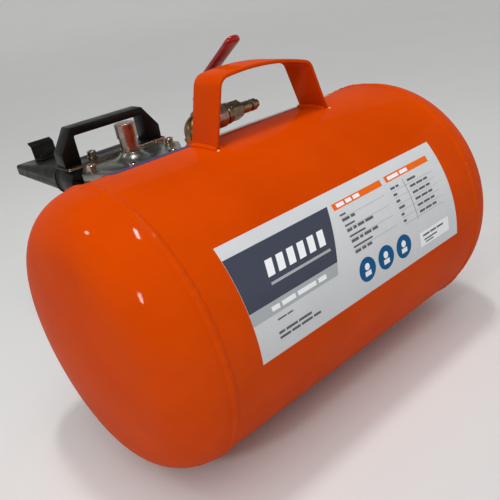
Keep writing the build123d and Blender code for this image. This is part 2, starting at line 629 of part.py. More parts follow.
PLUG_STEPS = [(44.0, 48.0, 6.6), (48.0, 57.0, 5.9), (57.0, 60.5, 4.3), (60.5, 66.0, 5.9), (66.0, 70.0, 4.0)]
plug = None
for low, high, radius in PLUG_STEPS:
    step = rod(radius, low, high, "x", AXIS_AT)
    plug = step if plug is None else plug + step
plug -= rod(2.6, 43, 71, "x", AXIS_AT)
save("air_plug", on_line(plug))

# lever: a cranked plate on the stem, with a dipped vinyl sleeve
LEVER_Z = LINE_R + 24.0
LEVER_T = 2.0
LEVER_W = 11.0
lever_line = [(7.0, LEVER_Z), (-10.0, LEVER_Z), (-22.0, LEVER_Z + 8), (-80.0, LEVER_Z + 12)]
lever_top = [(y, z + LEVER_T) for y, z in reversed(lever_line)]
lever_face = Plane.YZ * make_face(Polyline(*lever_line, *lever_top, close=True))
lever = Pos(VALVE_STEM_X, 0, 0) * extrude(lever_face, amount=LEVER_W / 2, both=True)
lever -= rod(2.4, LEVER_Z - 1, LEVER_Z + 3, "z", (VALVE_STEM_X, 0))
save("lever_plate", on_line(lever))

SLEEVE_Y = (-82.0, -26.0)
lean = (lever_line[3][1] - lever_line[2][1]) / (lever_line[2][0] - lever_line[3][0])


def lever_mid(y):
    """Height of the lever plate's middle along its outer run."""
    return lever_line[2][1] + lean * (lever_line[2][0] - y) + LEVER_T / 2


sleeve_points = [(SLEEVE_Y[1], lever_mid(SLEEVE_Y[1]) - 3), (SLEEVE_Y[0], lever_mid(SLEEVE_Y[0]) - 3),
                 (SLEEVE_Y[0], lever_mid(SLEEVE_Y[0]) + 3), (SLEEVE_Y[1], lever_mid(SLEEVE_Y[1]) + 3)]
sleeve_face = Plane.YZ * make_face(Polyline(*sleeve_points, close=True))
sleeve = Pos(VALVE_STEM_X, 0, 0) * extrude(sleeve_face, amount=7.5, both=True)
sleeve = fillet(sleeve.edges(), 2.2)
sleeve -= lever
save("lever_sleeve", on_line(sleeve))
stem_nut = hexagon(8, LEVER_Z + LEVER_T, LEVER_Z + LEVER_T + 4, "z", (VALVE_STEM_X, 0))
stem_nut -= rod(2.4, LEVER_Z, LEVER_Z + 9, "z", (VALVE_STEM_X, 0))
save("stem_nut", on_line(stem_nut))

# ================= pressure gauge =================

def on_gauge(shape):
    return standing(Pos(GAUGE_X, 0, 0) * shape, GAUGE_TIP)


GAUGE_R = 26.0
CASE_Z = (TANK_R + 19.0, TANK_R + 45.0)
gauge_stem = rod(GAUGE_THREAD_R, TANK_R - 4, TANK_R + 6, "z") + hexagon(14, TANK_R + 6, CASE_Z[0], "z")
gauge_stem -= rod(2.0, TANK_R - 5, CASE_Z[0] - 2, "z")
save("gauge_stem", on_gauge(gauge_stem))
case = rod(GAUGE_R, CASE_Z[0], CASE_Z[1], "z")
case = fillet(case.edges().group_by(Axis.Z)[0], 3)
case -= rod(GAUGE_R - 1.5, CASE_Z[0] + 2, CASE_Z[1] + 1, "z")
save("gauge_case", on_gauge(case))
DIAL_Z = CASE_Z[1] - 7.0
save("gauge_dial", on_gauge(tube(GAUGE_R - 1.5, 1.0 + RUN, DIAL_Z - 1, DIAL_Z, "z")))
needle = Pos(4.5, 0, DIAL_Z + 1.4) * Box(23, 1.2, 0.6) + rod(2.2, DIAL_Z + 0.6, DIAL_Z + 2.4, "z")
needle += rod(1.0, DIAL_Z - 6, DIAL_Z + 1, "z")
needle = Rot(0, 0, 45) * needle
save("gauge_needle", on_gauge(needle))
lens = rod(GAUGE_R - 1.5, CASE_Z[1] - 2.5, CASE_Z[1] - 0.8, "z")
save("gauge_lens", on_gauge(lens))
bezel = tube(GAUGE_R + 1.5, GAUGE_R, CASE_Z[1] - 6, CASE_Z[1] + 1, "z")
bezel += tube(GAUGE_R + 1.5, GAUGE_R - 3.5, CASE_Z[1], CASE_Z[1] + 1.5, "z")
save("gauge_bezel", on_gauge(bezel))

# ================= relief valve =================

AT_RELIEF = (RELIEF_X, RELIEF_Y)
relief_elbow = rod(GAUGE_THREAD_R, TANK_R - 4, TANK_R + 6, "y", (RELIEF_X, 0))
relief_elbow += rod(8.0, TANK_R + 6, RELIEF_Y, "y", (RELIEF_X, 0))
relief_elbow += Pos(RELIEF_X, RELIEF_Y, 0) * Sphere(8.0)
relief_elbow += rod(8.0, 0, 14, "z", AT_RELIEF)
relief_elbow -= rod(2.5, TANK_R - 5, RELIEF_Y, "y", (RELIEF_X, 0))
relief_elbow -= rod(2.5, 0, 15, "z", AT_RELIEF)
save("relief_elbow", relief_elbow)
relief_body = hexagon(16, 14, 22, "z", AT_RELIEF) + rod(7.0, 22, 44, "z", AT_RELIEF)
relief_body -= rod(2.5, 13, 20, "z", AT_RELIEF)
relief_body -= rod(5.0, 19, 41, "z", AT_RELIEF)
relief_body -= rod(1.6 + RUN, 40, 45, "z", AT_RELIEF)
relief_body -= rod(1.6, 120, 170, "y", (RELIEF_X, 34))
save("relief_body", relief_body)
relief_stem = rod(1.6, 21, 52, "z", AT_RELIEF) + rod(4.6, 19, 24, "z", AT_RELIEF)
relief_stem -= rod(1.0, RELIEF_X - 5, RELIEF_X + 5, "x", (RELIEF_Y, 50))
save("relief_stem", relief_stem)
save("relief_spring", Pos(RELIEF_X, RELIEF_Y, 0) * spring(3.4, 0.5, 24, 41, 7))
pull_ring = Pos(RELIEF_X, RELIEF_Y, 50 + 9) * (Rot(90, 0, 0) * Torus(9.0, 0.8))
save("relief_ring", pull_ring)

# ================= labels =================

def label(x, start, end):
    """A thin printed sheet on the tank, between two angles from vertical towards +Y."""
    sheet = tube(TANK_R + LABEL_T, TANK_R, x[0], x[1], "x")
    keep = []
    reach = 400.0
    for angle in (start, end):
        keep.append((reach * sin(radians(angle)), reach * cos(radians(angle))))
    wedge = Plane.YZ * make_face(Polyline((0, 0), *keep, close=True))
    return sheet & extrude(wedge, amount=400, both=True)


save("label_front", label(FRONT_X, -90, -90 + FRONT_SPAN))
save("label_rear", label(REAR_X, *REAR_ANGLES))
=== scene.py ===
import json
import math

import bmesh
import bpy
from mathutils import Matrix, Vector, noise


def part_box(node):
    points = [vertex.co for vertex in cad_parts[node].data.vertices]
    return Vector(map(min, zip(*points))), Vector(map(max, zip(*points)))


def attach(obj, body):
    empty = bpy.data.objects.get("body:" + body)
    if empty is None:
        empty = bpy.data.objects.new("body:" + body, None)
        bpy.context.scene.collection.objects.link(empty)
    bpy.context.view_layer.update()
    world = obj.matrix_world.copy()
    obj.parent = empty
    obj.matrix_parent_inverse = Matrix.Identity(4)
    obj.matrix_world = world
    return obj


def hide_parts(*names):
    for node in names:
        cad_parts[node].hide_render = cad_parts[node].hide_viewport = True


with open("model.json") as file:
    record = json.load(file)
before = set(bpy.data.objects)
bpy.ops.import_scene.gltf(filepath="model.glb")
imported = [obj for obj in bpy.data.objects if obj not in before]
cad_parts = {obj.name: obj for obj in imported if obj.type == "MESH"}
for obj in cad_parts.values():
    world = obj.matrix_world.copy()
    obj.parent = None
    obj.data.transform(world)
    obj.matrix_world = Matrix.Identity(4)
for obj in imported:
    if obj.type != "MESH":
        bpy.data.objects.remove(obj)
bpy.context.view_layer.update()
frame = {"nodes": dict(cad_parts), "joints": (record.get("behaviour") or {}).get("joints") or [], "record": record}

# The looks of a bead seater blaster tank: painted steel tank, cast valve, black grip and nozzle,
# brass and nickel fittings, printed labels. Metres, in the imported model's own frame.

NODES = frame["nodes"]
BODY_OF = {n: body for body, members in frame["record"]["behaviour"]["bodies"].items() for n in members}
SLOT_OF = {part["node"]: part["material_slot"] for part in frame["record"]["subparts"]}
MM = 0.001

# ---- where the tank lies ----
shell_low, shell_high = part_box("tank_shell")
TANK_R = (shell_high.z - shell_low.z) / 2
HALF = shell_high.x
AXIS_Y = (shell_low.y + shell_high.y) / 2
AXIS_Z = (shell_low.z + shell_high.z) / 2
WALL = 2.5 * MM
CROWN_R = 376 * MM
KNUCKLE_R = 48 * MM


# ================= materials =================

def linear(red, green, blue):
    """An sRGB colour, 0 to 255 a channel, as linear light."""
    out = []
    for value in (red, green, blue):
        value /= 255
        out.append(value / 12.92 if value <= 0.04045 else ((value + 0.055) / 1.055) ** 2.4)
    return (*out, 1.0)


def scaled(colour, factor):
    return tuple(min(1.0, c * factor) for c in colour[:3]) + (1.0,)


class Surface:
    """One procedural material: mottled colour, uneven roughness and a fine relief."""

    def __init__(self, name, colour, roughness, metallic=0.0):
        self.material = bpy.data.materials.new(name)
        self.material.use_nodes = True
        self.tree = self.material.node_tree
        self.shader = self.tree.nodes["Principled BSDF"]
        self.colour = colour
        self.shader.inputs["Metallic"].default_value = metallic
        self.shader.inputs["Roughness"].default_value = roughness
        self.roughness = roughness
        self.place = self.add("ShaderNodeTexCoord").outputs["Object"]
        self.normal = None

    def add(self, kind):
        return self.tree.nodes.new(kind)

    def join(self, start, end):
        self.tree.links.new(start, end)

    def noise(self, scale, detail=3.0, rough=0.5, stretch=None):
        """A noise texture in object space; scale is in cycles a metre."""
        node = self.add("ShaderNodeTexNoise")
        node.inputs["Scale"].default_value = scale
        node.inputs["Detail"].default_value = detail
        node.inputs["Roughness"].default_value = rough
        source = self.place
        if stretch:
            mapping = self.add("ShaderNodeMapping")
            mapping.inputs["Scale"].default_value = stretch
            self.join(source, mapping.inputs["Vector"])
            source = mapping.outputs["Vector"]
        self.join(source, node.inputs["Vector"])
        return node.outputs["Fac"]

    def spread(self, value, low, high, start=0.35, end=0.65):
        """Map a noise value onto low to high."""
        node = self.add("ShaderNodeMapRange")
        node.inputs["From Min"].default_value = start
        node.inputs["From Max"].default_value = end
        node.inputs["To Min"].default_value = low
        node.inputs["To Max"].default_value = high
        self.join(value, node.inputs["Value"])
        return node.outputs["Result"]

    def blend(self, factor, first, second):
        """A colour between two others; each is a colour or another node's output."""
        node = self.add("ShaderNodeMix")
        node.data_type = "RGBA"
        self.join(factor, node.inputs["Factor"])
        for socket, value in ((node.inputs[6], first), (node.inputs[7], second)):
            if isinstance(value, tuple):
                socket.default_value = value
            else:
                self.join(value, socket)
        return node.outputs[2]

    def mottle(self, scale, amount, second=None, stretch=None):
        """Vary the colour softly."""
        fine = self.spread(self.noise(scale, 4.0, 0.6, stretch), 0.0, 1.0)
        other = second or scaled(self.colour, 1.0 + amount)
        darker = scaled(self.colour, 1.0 - amount)
        colour = self.blend(fine, darker, other)
        self.join(colour, self.shader.inputs["Base Color"])
        return self

    def uneven(self, scale, amount, stretch=None):
        """Vary the roughness."""
        grain = self.noise(scale, 3.0, 0.6, stretch)
        value = self.spread(grain, self.roughness - amount, self.roughness + amount)
        self.join(value, self.shader.inputs["Roughness"])
        return self

    def relief(self, scale, depth, strength=1.0, stretch=None, detail=2.0):
        """A bump; depth is in metres."""
        bump = self.add("ShaderNodeBump")
        bump.inputs["Strength"].default_value = strength
        bump.inputs["Distance"].default_value = depth
        self.join(self.noise(scale, detail, 0.5, stretch), bump.inputs["Height"])
        if self.normal:
            self.join(self.normal, bump.inputs["Normal"])
        self.normal = bump.outputs["Normal"]
        self.join(self.normal, self.shader.inputs["Normal"])
        return self

    def coat(self, weight, roughness=0.05):
        self.shader.inputs["Coat Weight"].default_value = weight
        self.shader.inputs["Coat Roughness"].default_value = roughness
        return self


def make_materials():
    m = {}
    paint = Surface("orange_paint", linear(200, 64, 0), 0.34).mottle(9, 0.04, linear(207, 69, 1))
    paint.uneven(14, 0.04)
    paint.shader.inputs["Specular IOR Level"].default_value = 0.0
    m["orange_paint"] = paint.relief(420, 0.00006, 0.4).relief(28, 0.0005, 0.2).coat(0.13, 0.05)
    black = Surface("black_coat", linear(14, 13, 11), 0.4).mottle(60, 0.25).uneven(90, 0.08)
    black.shader.inputs["Specular IOR Level"].default_value = 0.22
    m["black_coat"] = black.relief(1500, 0.00005, 0.6)
    m["cast_aluminium"] = (Surface("cast_aluminium", linear(140, 142, 136), 0.34, 0.95)
                           .mottle(45, 0.22, linear(160, 161, 152)).uneven(70, 0.08)
                           .relief(1100, 0.00012, 0.55).relief(160, 0.0003, 0.2))
    m["nickel"] = (Surface("nickel", linear(176, 158, 146), 0.3, 1.0).mottle(80, 0.12)
                   .uneven(120, 0.06).relief(2200, 0.00002, 0.5, (1, 1, 0.15)))
    m["plated_steel"] = (Surface("plated_steel", linear(176, 172, 160), 0.3, 1.0)
                         .mottle(120, 0.2, linear(190, 182, 160)).uneven(160, 0.1).relief(1800, 0.00003, 0.5))
    m["brass"] = (Surface("brass", linear(140, 108, 74), 0.32, 1.0).mottle(70, 0.2, linear(158, 126, 90))
                  .uneven(110, 0.08).relief(1900, 0.00003, 0.5))
    m["pewter"] = (Surface("pewter", linear(150, 128, 100), 0.27, 1.0).mottle(90, 0.2, linear(168, 146, 118))
                   .uneven(130, 0.06).relief(1900, 0.00002, 0.5))
    # pale metal for the grip plate's near-facing side faces: a painted highlight along its near edge
    m["near_edge_highlight_steel"] = (Surface("near_edge_highlight_steel", linear(178, 166, 142), 0.3, 1.0).mottle(200, 0.2)
                       .uneven(220, 0.08).relief(1800, 0.00003, 0.5))
    m["primer"] = Surface("primer", linear(214, 186, 160), 0.6).mottle(300, 0.1).uneven(300, 0.06)
    m["foot_rubber"] = (Surface("foot_rubber", linear(30, 30, 30), 0.75).mottle(150, 0.25)
                        .uneven(200, 0.08).relief(900, 0.0001, 0.5))
    m["seal_rubber"] = (Surface("seal_rubber", linear(34, 33, 32), 0.68).mottle(180, 0.2)
                        .uneven(220, 0.08).relief(1200, 0.00006, 0.5))
    m["white_nylon"] = (Surface("white_nylon", linear(226, 222, 210), 0.45).mottle(120, 0.04)
                        .uneven(140, 0.05).relief(900, 0.00003, 0.4))
    m["red_vinyl"] = (Surface("red_vinyl", linear(138, 6, 6), 0.3).mottle(40, 0.12, linear(156, 10, 8))
                      .uneven(60, 0.05).relief(260, 0.00004, 0.3).coat(0.15, 0.15))
    m["gauge_face"] = (Surface("gauge_face", linear(236, 236, 230), 0.5).mottle(90, 0.03)
                       .uneven(120, 0.05).relief(1500, 0.00001, 0.3))
    m["needle_black"] = (Surface("needle_black", linear(18, 18, 18), 0.45).mottle(200, 0.2)
                         .uneven(200, 0.05).relief(1500, 0.00001, 0.3))
    lens = Surface("clear_lens", linear(246, 250, 250), 0.06).mottle(60, 0.01).uneven(90, 0.02)
    lens.shader.inputs["Transmission Weight"].default_value = 1.0
    lens.shader.inputs["IOR"].default_value = 1.46
    m["clear_lens"] = lens
    inks = {"label_vinyl": (206, 208, 210), "print_strip": (190, 193, 196), "print_slate": (66, 70, 84),
            "print_band": (168, 173, 176), "print_orange": (232, 104, 24), "print_blue": (0, 84, 134),
            "print_white": (238, 240, 242), "print_ink": (92, 96, 102), "print_navy": (28, 44, 104)}
    for name, colour in inks.items():
        ink = Surface(name, linear(*colour), 0.42).mottle(25, 0.025).uneven(40, 0.04)
        ink.relief(350, 0.00003, 0.3)
        ink.shader.inputs["Specular IOR Level"].default_value = 0.12
        m[name] = ink
    return {name: item.material for name, item in m.items()}


MATERIALS = make_materials()


# ================= mesh tools =================

def new_object(name, mesh, material=None):
    piece = bpy.data.objects.new(name, mesh)
    bpy.context.scene.collection.objects.link(piece)
    if material:
        mesh.materials.clear()
        mesh.materials.append(material)
    return piece


def shaded(mesh, angle=35):
    """Smooth shading, with creases sharper than the angle kept."""
    for face in mesh.polygons:
        face.use_smooth = True
    mesh.set_sharp_from_angle(angle=math.radians(angle))


def built(name, points, faces, material, crease=35):
    """A closed mesh from points and faces, with its faces turned outwards."""
    mesh = bpy.data.meshes.new(name)
    mesh.from_pydata([tuple(p) for p in points], [], faces)
    bm = bmesh.new()
    bm.from_mesh(mesh)
    bmesh.ops.remove_doubles(bm, verts=bm.verts, dist=1e-6)
    bmesh.ops.recalc_face_normals(bm, faces=bm.faces)
    bm.to_mesh(mesh)
    bm.free()
    shaded(mesh, crease)
    return new_object(name, mesh, MATERIALS[material])


def loop_grid(rings, close_rows=True, closed_ends=False):
    """Faces of a grid of equal rings of points; returns (points, faces)."""
    count = len(rings[0])
    points = [p for ring in rings for p in ring]
    faces = []
    rows = len(rings)
    for i in range(rows if close_rows else rows - 1):
        for j in range(count):
            a, b = i * count + j, i * count + (j + 1) % count
            c, d = ((i + 1) % rows) * count + (j + 1) % count, ((i + 1) % rows) * count + j
            faces.append((a, b, c, d))
    if closed_ends:
        faces.append(tuple(range(count)))
        faces.append(tuple((rows - 1) * count + j for j in reversed(range(count))))
    return points, faces


def settle(piece):
    """Apply a piece's modifiers to its mesh."""
    depsgraph = bpy.context.evaluated_depsgraph_get()
    mesh = bpy.data.meshes.new_from_object(piece.evaluated_get(depsgraph))
    piece.modifiers.clear()
    piece.data = mesh
    return piece


def installed(piece, body, slot, *nodes):
    """Hang a piece on its body, in the place of its CAD nodes."""
    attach(piece, body)
    if nodes:
        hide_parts(*nodes)
    return piece


def refined(node, width, segments):
    """A CAD node with its hard edges broken by a small round, in the same place."""
    mesh = NODES[node].data.copy()
    if "custom_normal" in mesh.attributes:
        mesh.attributes.remove(mesh.attributes["custom_normal"])
    bm = bmesh.new()
    bm.from_mesh(mesh)
    bmesh.ops.remove_doubles(bm, verts=bm.verts, dist=2e-6)
    bmesh.ops.dissolve_limit(bm, angle_limit=math.radians(0.4), verts=bm.verts, edges=bm.edges,
                             use_dissolve_boundaries=False)
    bm.to_mesh(mesh)
    bm.free()
    piece = new_object(node + "_finished", mesh, MATERIALS[SLOT_OF[node]])
    bevel = piece.modifiers.new("edges", "BEVEL")
    bevel.width = width
    bevel.segments = segments
    bevel.limit_method = "ANGLE"
    bevel.angle_limit = math.radians(32)
    bevel.use_clamp_overlap = False
    bevel.harden_normals = False
    settle(piece)
    shaded(piece.data, 40)
    return installed(piece, BODY_OF[node], SLOT_OF[node], node)


def lathe(origin, along, side, profile, material, name, turns=96):
    """A turned solid from (distance, radius, width across flats or 0); flats cut it to a hexagon."""
    across = along.cross(side)
    rings = []
    for distance, radius, flats in profile:
        ring = []
        for i in range(turns):
            angle = 2 * math.pi * i / turns
            r = radius
            if flats:
                fold = (angle + math.pi / 6) % (math.pi / 3) - math.pi / 6
                r = min(radius, flats / 2 / math.cos(fold))
            ring.append(origin + along * distance + (side * math.cos(angle) + across * math.sin(angle)) * r)
        rings.append(ring)
    points, faces = loop_grid(rings)
    return built(name, points, faces, material, 28)


def turned(segments, bore, chamfer=0.35 * MM):
    """The profile of a stepped part with chamfered steps and a bore.

    Segments are (start, end, radius, width across flats or 0), in millimetres.
    """
    profile = []
    for start, end, radius, flats in segments:
        start, end, radius, flats = start * MM, end * MM, radius * MM, flats * MM
        cut = radius - chamfer
        if flats:
            radius, cut = flats / math.sqrt(3), flats / 2 * 1.01
        drop = chamfer * (1.6 if flats else 1)
        profile += [(start, cut, flats), (start + drop, radius, flats)]
        profile += [(end - drop, radius, flats), (end, cut, flats)]
    return profile + [(profile[-1][0], bore, 0), (profile[0][0], bore, 0)]


# ================= fill line =================

plug_low, plug_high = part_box("air_plug")
LINE = Vector((0, (plug_low.y + plug_high.y) / 2, (plug_low.z + plug_high.z) / 2))
lever_joint = next(j for j in frame["joints"] if j["name"] == "lever_turn")
UP = Vector(lever_joint["axis"]).normalized()
ALONG = Vector((1, 0, 0))
OUT = ALONG.cross(UP)
STEM = Vector(lever_joint["pos_m"])


def fill_fitting(node, segments, material, bore=2.6):
    piece = lathe(LINE, ALONG, UP, turned(segments, bore * MM), material, node + "_turned")
    return installed(piece, BODY_OF[node], SLOT_OF[node], node)


def brass_elbow():
    """A cast elbow: up out of the tank, round a soft bend, and into a thick rim."""
    tube, bend = 9.3 * MM, 10.2 * MM
    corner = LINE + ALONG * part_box("inlet_elbow")[0].x + ALONG * 9.5 * MM
    rings, turns, steps = [], 64, 20

    def ring(spot, heading):
        lift = heading.cross(OUT)
        angles = [2 * math.pi * i / turns for i in range(turns)]
        return [spot + (OUT * math.cos(angle) + lift * math.sin(angle)) * tube for angle in angles]

    rings.append(ring(corner - UP * 14 * MM, UP))
    for i in range(steps + 1):
        turn = math.pi / 2 * i / steps
        centre = corner + (ALONG - UP) * bend
        rings.append(ring(centre - ALONG * bend * math.cos(turn) + UP * bend * math.sin(turn),
                          UP * math.cos(turn) + ALONG * math.sin(turn)))
    rings.append(ring(corner + ALONG * 12 * MM, ALONG))
    points, faces = loop_grid(rings, False, True)
    casting = built("elbow_casting", points, faces, "brass", 60)
    rim = lathe(corner, ALONG, UP, turned([(8, 12, 11.8, 0)], 5 * MM, 0.8 * MM), "brass", "elbow_rim")
    collar = lathe(corner, UP, ALONG, turned([(-13.5, -8, 0, 19)], 5 * MM), "brass", "elbow_collar")
    piece = joined("inlet_elbow_cast", [casting, rim, collar])
    return installed(piece, BODY_OF["inlet_elbow"], SLOT_OF["inlet_elbow"], "inlet_elbow")


# ================= tank =================

def head_outline(grow, steps=18):
    """One head's half outline from the crown's pole to the rim, as (x, r) from its tangent line."""
    radius, knuckle, crown = TANK_R + grow, KNUCKLE_R + grow, CROWN_R + grow
    offset = radius - knuckle
    centre = -math.sqrt((crown - knuckle) ** 2 - offset ** 2)
    lean = math.atan2(offset, -centre)
    points = [(centre + crown * math.cos(lean * i / steps), crown * math.sin(lean * i / steps))
              for i in range(steps)]
    for i in range(steps + 1):
        turn = lean + (math.pi / 2 - lean) * i / steps
        points.append((knuckle * math.cos(turn), offset + knuckle * math.sin(turn)))
    return points


def spun(name, outline, material, turns=192, crease=35, wave=None):
    """Turn an outline of (x, r) round the tank's axis; wave adds to r as a function of x and angle."""
    rings = []
    for i in range(turns):
        angle = 2 * math.pi * i / turns
        ring = []
        for x, r in outline:
            r += wave(x, angle) if wave and r > 1e-6 else 0.0
            ring.append((x, AXIS_Y + r * math.cos(angle), AXIS_Z + r * math.sin(angle)))
        rings.append(ring)
    points, faces = loop_grid(rings)
    return built(name, points, faces, material, crease)


def tank_head(side):
    """A pressed head: outside and inside outlines joined at the rim."""
    outer, inner = head_outline(0), head_outline(-WALL)
    outline = [(side * (HALF + x), r) for x, r in outer + inner[::-1]]
    name = "head_left" if side < 0 else "head_right"
    piece = spun(name + "_pressed", outline, "orange_paint")
    return installed(piece, "tank", "orange_paint", name)


def tank_wall():
    """The rolled shell, open at its ends, with the faint waviness of rolled plate."""
    steps = 40
    places = [-HALF + 2 * HALF * i / steps for i in range(steps + 1)]
    span = [(x, TANK_R) for x in places]
    back = [(x, TANK_R - WALL) for x in reversed(places)]

    def wave(x, angle):
        spot = Vector((x * 9, math.cos(angle) * 1.3, math.sin(angle) * 1.3))
        fade = 1 - (abs(x) / HALF) ** 6
        return 0.00012 * fade * noise.noise(spot)

    piece = spun("tank_wall", span + back, "orange_paint", 240, 35, wave)
    return installed(piece, "tank", "orange_paint", "tank_shell")


def seam_weld(side):
    """A low machine-laid bead round a head seam, its lumps softened by the paint."""
    width, height, count, turns = 3.9 * MM, 1.35 * MM, 15, 960
    rings = []
    for i in range(turns):
        angle = 2 * math.pi * i / turns
        spot = Vector((side * 5, math.cos(angle) * 7, math.sin(angle) * 7))
        wander = noise.noise(spot)
        lumps = noise.noise(spot * 3.7 + Vector((3, 0, 0)))
        beads = noise.noise(spot * 13 + Vector((0, 5, 0)))
        ripple = math.sin(angle * 150 + 3 * wander)
        ring = []
        for j in range(count):
            across = -1 + 2 * j / (count - 1)
            bulge = (1 - across * across) ** 1.7
            crown = height * bulge * (0.85 + 0.3 * lumps + 0.3 * beads + 0.08 * ripple)
            r = TANK_R - 0.05 * MM + crown
            turn = angle + 0.004 * bulge
            x = side * HALF + width * (1 + 0.14 * lumps) * across + 0.5 * MM * wander
            ring.append((x, AXIS_Y + r * math.cos(turn), AXIS_Z + r * math.sin(turn)))
        for across in (0.9, -0.9):
            r = TANK_R - 1.2 * MM
            x = side * HALF + across * width
            ring.append((x, AXIS_Y + r * math.cos(angle), AXIS_Z + r * math.sin(angle)))
        rings.append(ring)
    points, faces = loop_grid(rings)
    name = "seam_weld_left" if side < 0 else "seam_weld_right"
    piece = built(name, points, faces, "orange_paint", 80)
    return installed(piece, "tank", "orange_paint", "head_seam_welds")


# ================= fillet welds of the carry handle =================

handle_low, handle_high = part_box("carry_handle")


def foot_weld(name, x, half_width, seed):
    """A hand-laid fillet bead across a strap foot, following the tank's curve."""
    rings = []
    radius = 3 * MM
    reach = math.asin(half_width / TANK_R)
    steps, around = 64, 14
    for i in range(steps + 1):
        t = -1 + 2 * i / steps
        angle = t * reach
        taper = math.sqrt(max(0.02, 1 - abs(t) ** 8))
        wobble = noise.noise(Vector((seed, t * 4, 0.3)))
        lump = radius * taper * (0.88 + 0.1 * math.sin(t * 34 + wobble * 3) + 0.1 * wobble)
        ring = []
        for j in range(around):
            turn = 2 * math.pi * j / around
            r = TANK_R + 0.3 * MM + lump * 0.85 * math.sin(turn)
            ring.append((x + lump * math.cos(turn) + 0.3 * MM * wobble,
                         AXIS_Y + r * math.sin(angle), AXIS_Z + r * math.cos(angle)))
        rings.append(ring)
    points, faces = loop_grid(rings, False, True)
    return installed(built(name, points, faces, "orange_paint", 80), "tank", "orange_paint", "handle_welds")


# ================= lever =================

def vinyl_sleeve():
    """A dipped sleeve: a flattened rounded bar with a lip at its root and a soft, closed far end."""
    near, far = 26 * MM, 82 * MM
    rise_near, rise_far = 8.5 * MM, 12.2 * MM
    half_width, half_thick, count, steps = 7.5 * MM, 3.0 * MM, 48, 40
    rings = []
    for i in range(steps + 1):
        t = i / steps
        tip = max(0.0, (t - 0.9) / 0.1)
        root = max(0.0, (0.03 - t) / 0.03)
        shrink = math.sqrt(max(0.02, 1 - tip ** 2.4)) * (1 - 0.12 * root)
        swell = 1 + 0.06 * math.exp(-((t - 0.86) / 0.06) ** 2)
        spot = STEM + OUT * (near + (far - near) * t) + UP * (rise_near + (rise_far - rise_near) * t)
        ring = []
        for k in range(count):
            angle = 2 * math.pi * k / count
            c, d = math.cos(angle), math.sin(angle)
            wide = math.copysign(abs(c) ** 0.62, c) * half_width * shrink * swell
            thick = math.copysign(abs(d) ** 0.75, d) * half_thick * math.sqrt(shrink)
            ring.append(spot + ALONG * wide + UP * thick)
        rings.append(ring)
    points, faces = loop_grid(rings, False, True)
    piece = built("lever_sleeve_dipped", points, faces, "red_vinyl", 60)
    return installed(piece, BODY_OF["lever_sleeve"], SLOT_OF["lever_sleeve"], "lever_sleeve")


# ================= labels =================

LABEL_T = 0.3 * MM
PRINT_T = 0.04 * MM


def on_tank(x, arc, height):
    """A point over the tank's printed side: arc is the distance up from the side, in metres."""
    angle = arc / TANK_R
    r = TANK_R + height
    return (x, AXIS_Y - r * math.cos(angle), AXIS_Z + r * math.sin(angle))


def wrapped(name, outline, material, base=LABEL_T, thickness=PRINT_T, step=3 * MM):
    """A thin closed sheet wrapped on the tank, from an outline of (x, arc) in millimetres."""
    bm = bmesh.new()
    flat = [bm.verts.new((x * MM, arc * MM, 0)) for x, arc in outline]
    bm.faces.new(flat)
    low = min(v.co.y for v in bm.verts)
    high = max(v.co.y for v in bm.verts)
    cuts = int((high - low) / step)
    for i in range(1, cuts + 1):
        level = low + (high - low) * i / (cuts + 1)
        geometry = bm.verts[:] + bm.edges[:] + bm.faces[:]
        bmesh.ops.bisect_plane(bm, geom=geometry, plane_co=(0, level, 0), plane_no=(0, 1, 0))
    bottom = bm.faces[:]
    lifted = bmesh.ops.extrude_face_region(bm, geom=bottom)
    raised = {v for v in lifted["geom"] if isinstance(v, bmesh.types.BMVert)}
    for vert in bm.verts:
        height = base + (thickness if vert in raised else -0.02 * MM)
        vert.co = on_tank(vert.co.x, vert.co.y, height)
    bmesh.ops.recalc_face_normals(bm, faces=bm.faces)
    mesh = bpy.data.meshes.new(name)
    bm.to_mesh(mesh)
    bm.free()
    shaded(mesh, 30)
    return new_object(name, mesh, MATERIALS[material])


def printed(name, outline, ink, layer=0):
    """One printed patch on the front label."""
    piece = wrapped(name, outline, ink, LABEL_T + layer * PRINT_T)
    return installed(piece, "tank", "label_vinyl")


def disc(x, arc, radius, points=40):
    turns = [2 * math.pi * i / points for i in range(points)]
    return [(x + radius * math.cos(turn), arc + radius * math.sin(turn)) for turn in turns]


def bar(x, arc, length, height, slant=0.0):
    return [(x, arc), (x + length, arc), (x + length + slant, arc + height), (x + slant, arc + height)]


def joined(name, pieces):
    """Make one object of several that share a material."""
    mesh = bpy.data.meshes.new(name)
    bm = bmesh.new()
    for piece in pieces:
        bm.from_mesh(piece.data)
    bm.to_mesh(mesh)
    bm.free()
    material = pieces[0].data.materials[0]
    for piece in pieces:
        bpy.data.objects.remove(piece)
    shaded(mesh, 30)
    return new_object(name, mesh, material)


def written(name, rows, ink, layer=1):
    """Rows of small bars that stand for text: each row is (x, arc, length, height, word lengths)."""
    pieces = []
    for x, arc, height, words in rows:
        for word in words:
            pieces.append(wrapped(name, bar(x, arc, word, height), ink, LABEL_T + layer * PRINT_T, PRINT_T))
            x += word + height * 0.7
    return installed(joined(name, pieces), "tank", "label_vinyl")


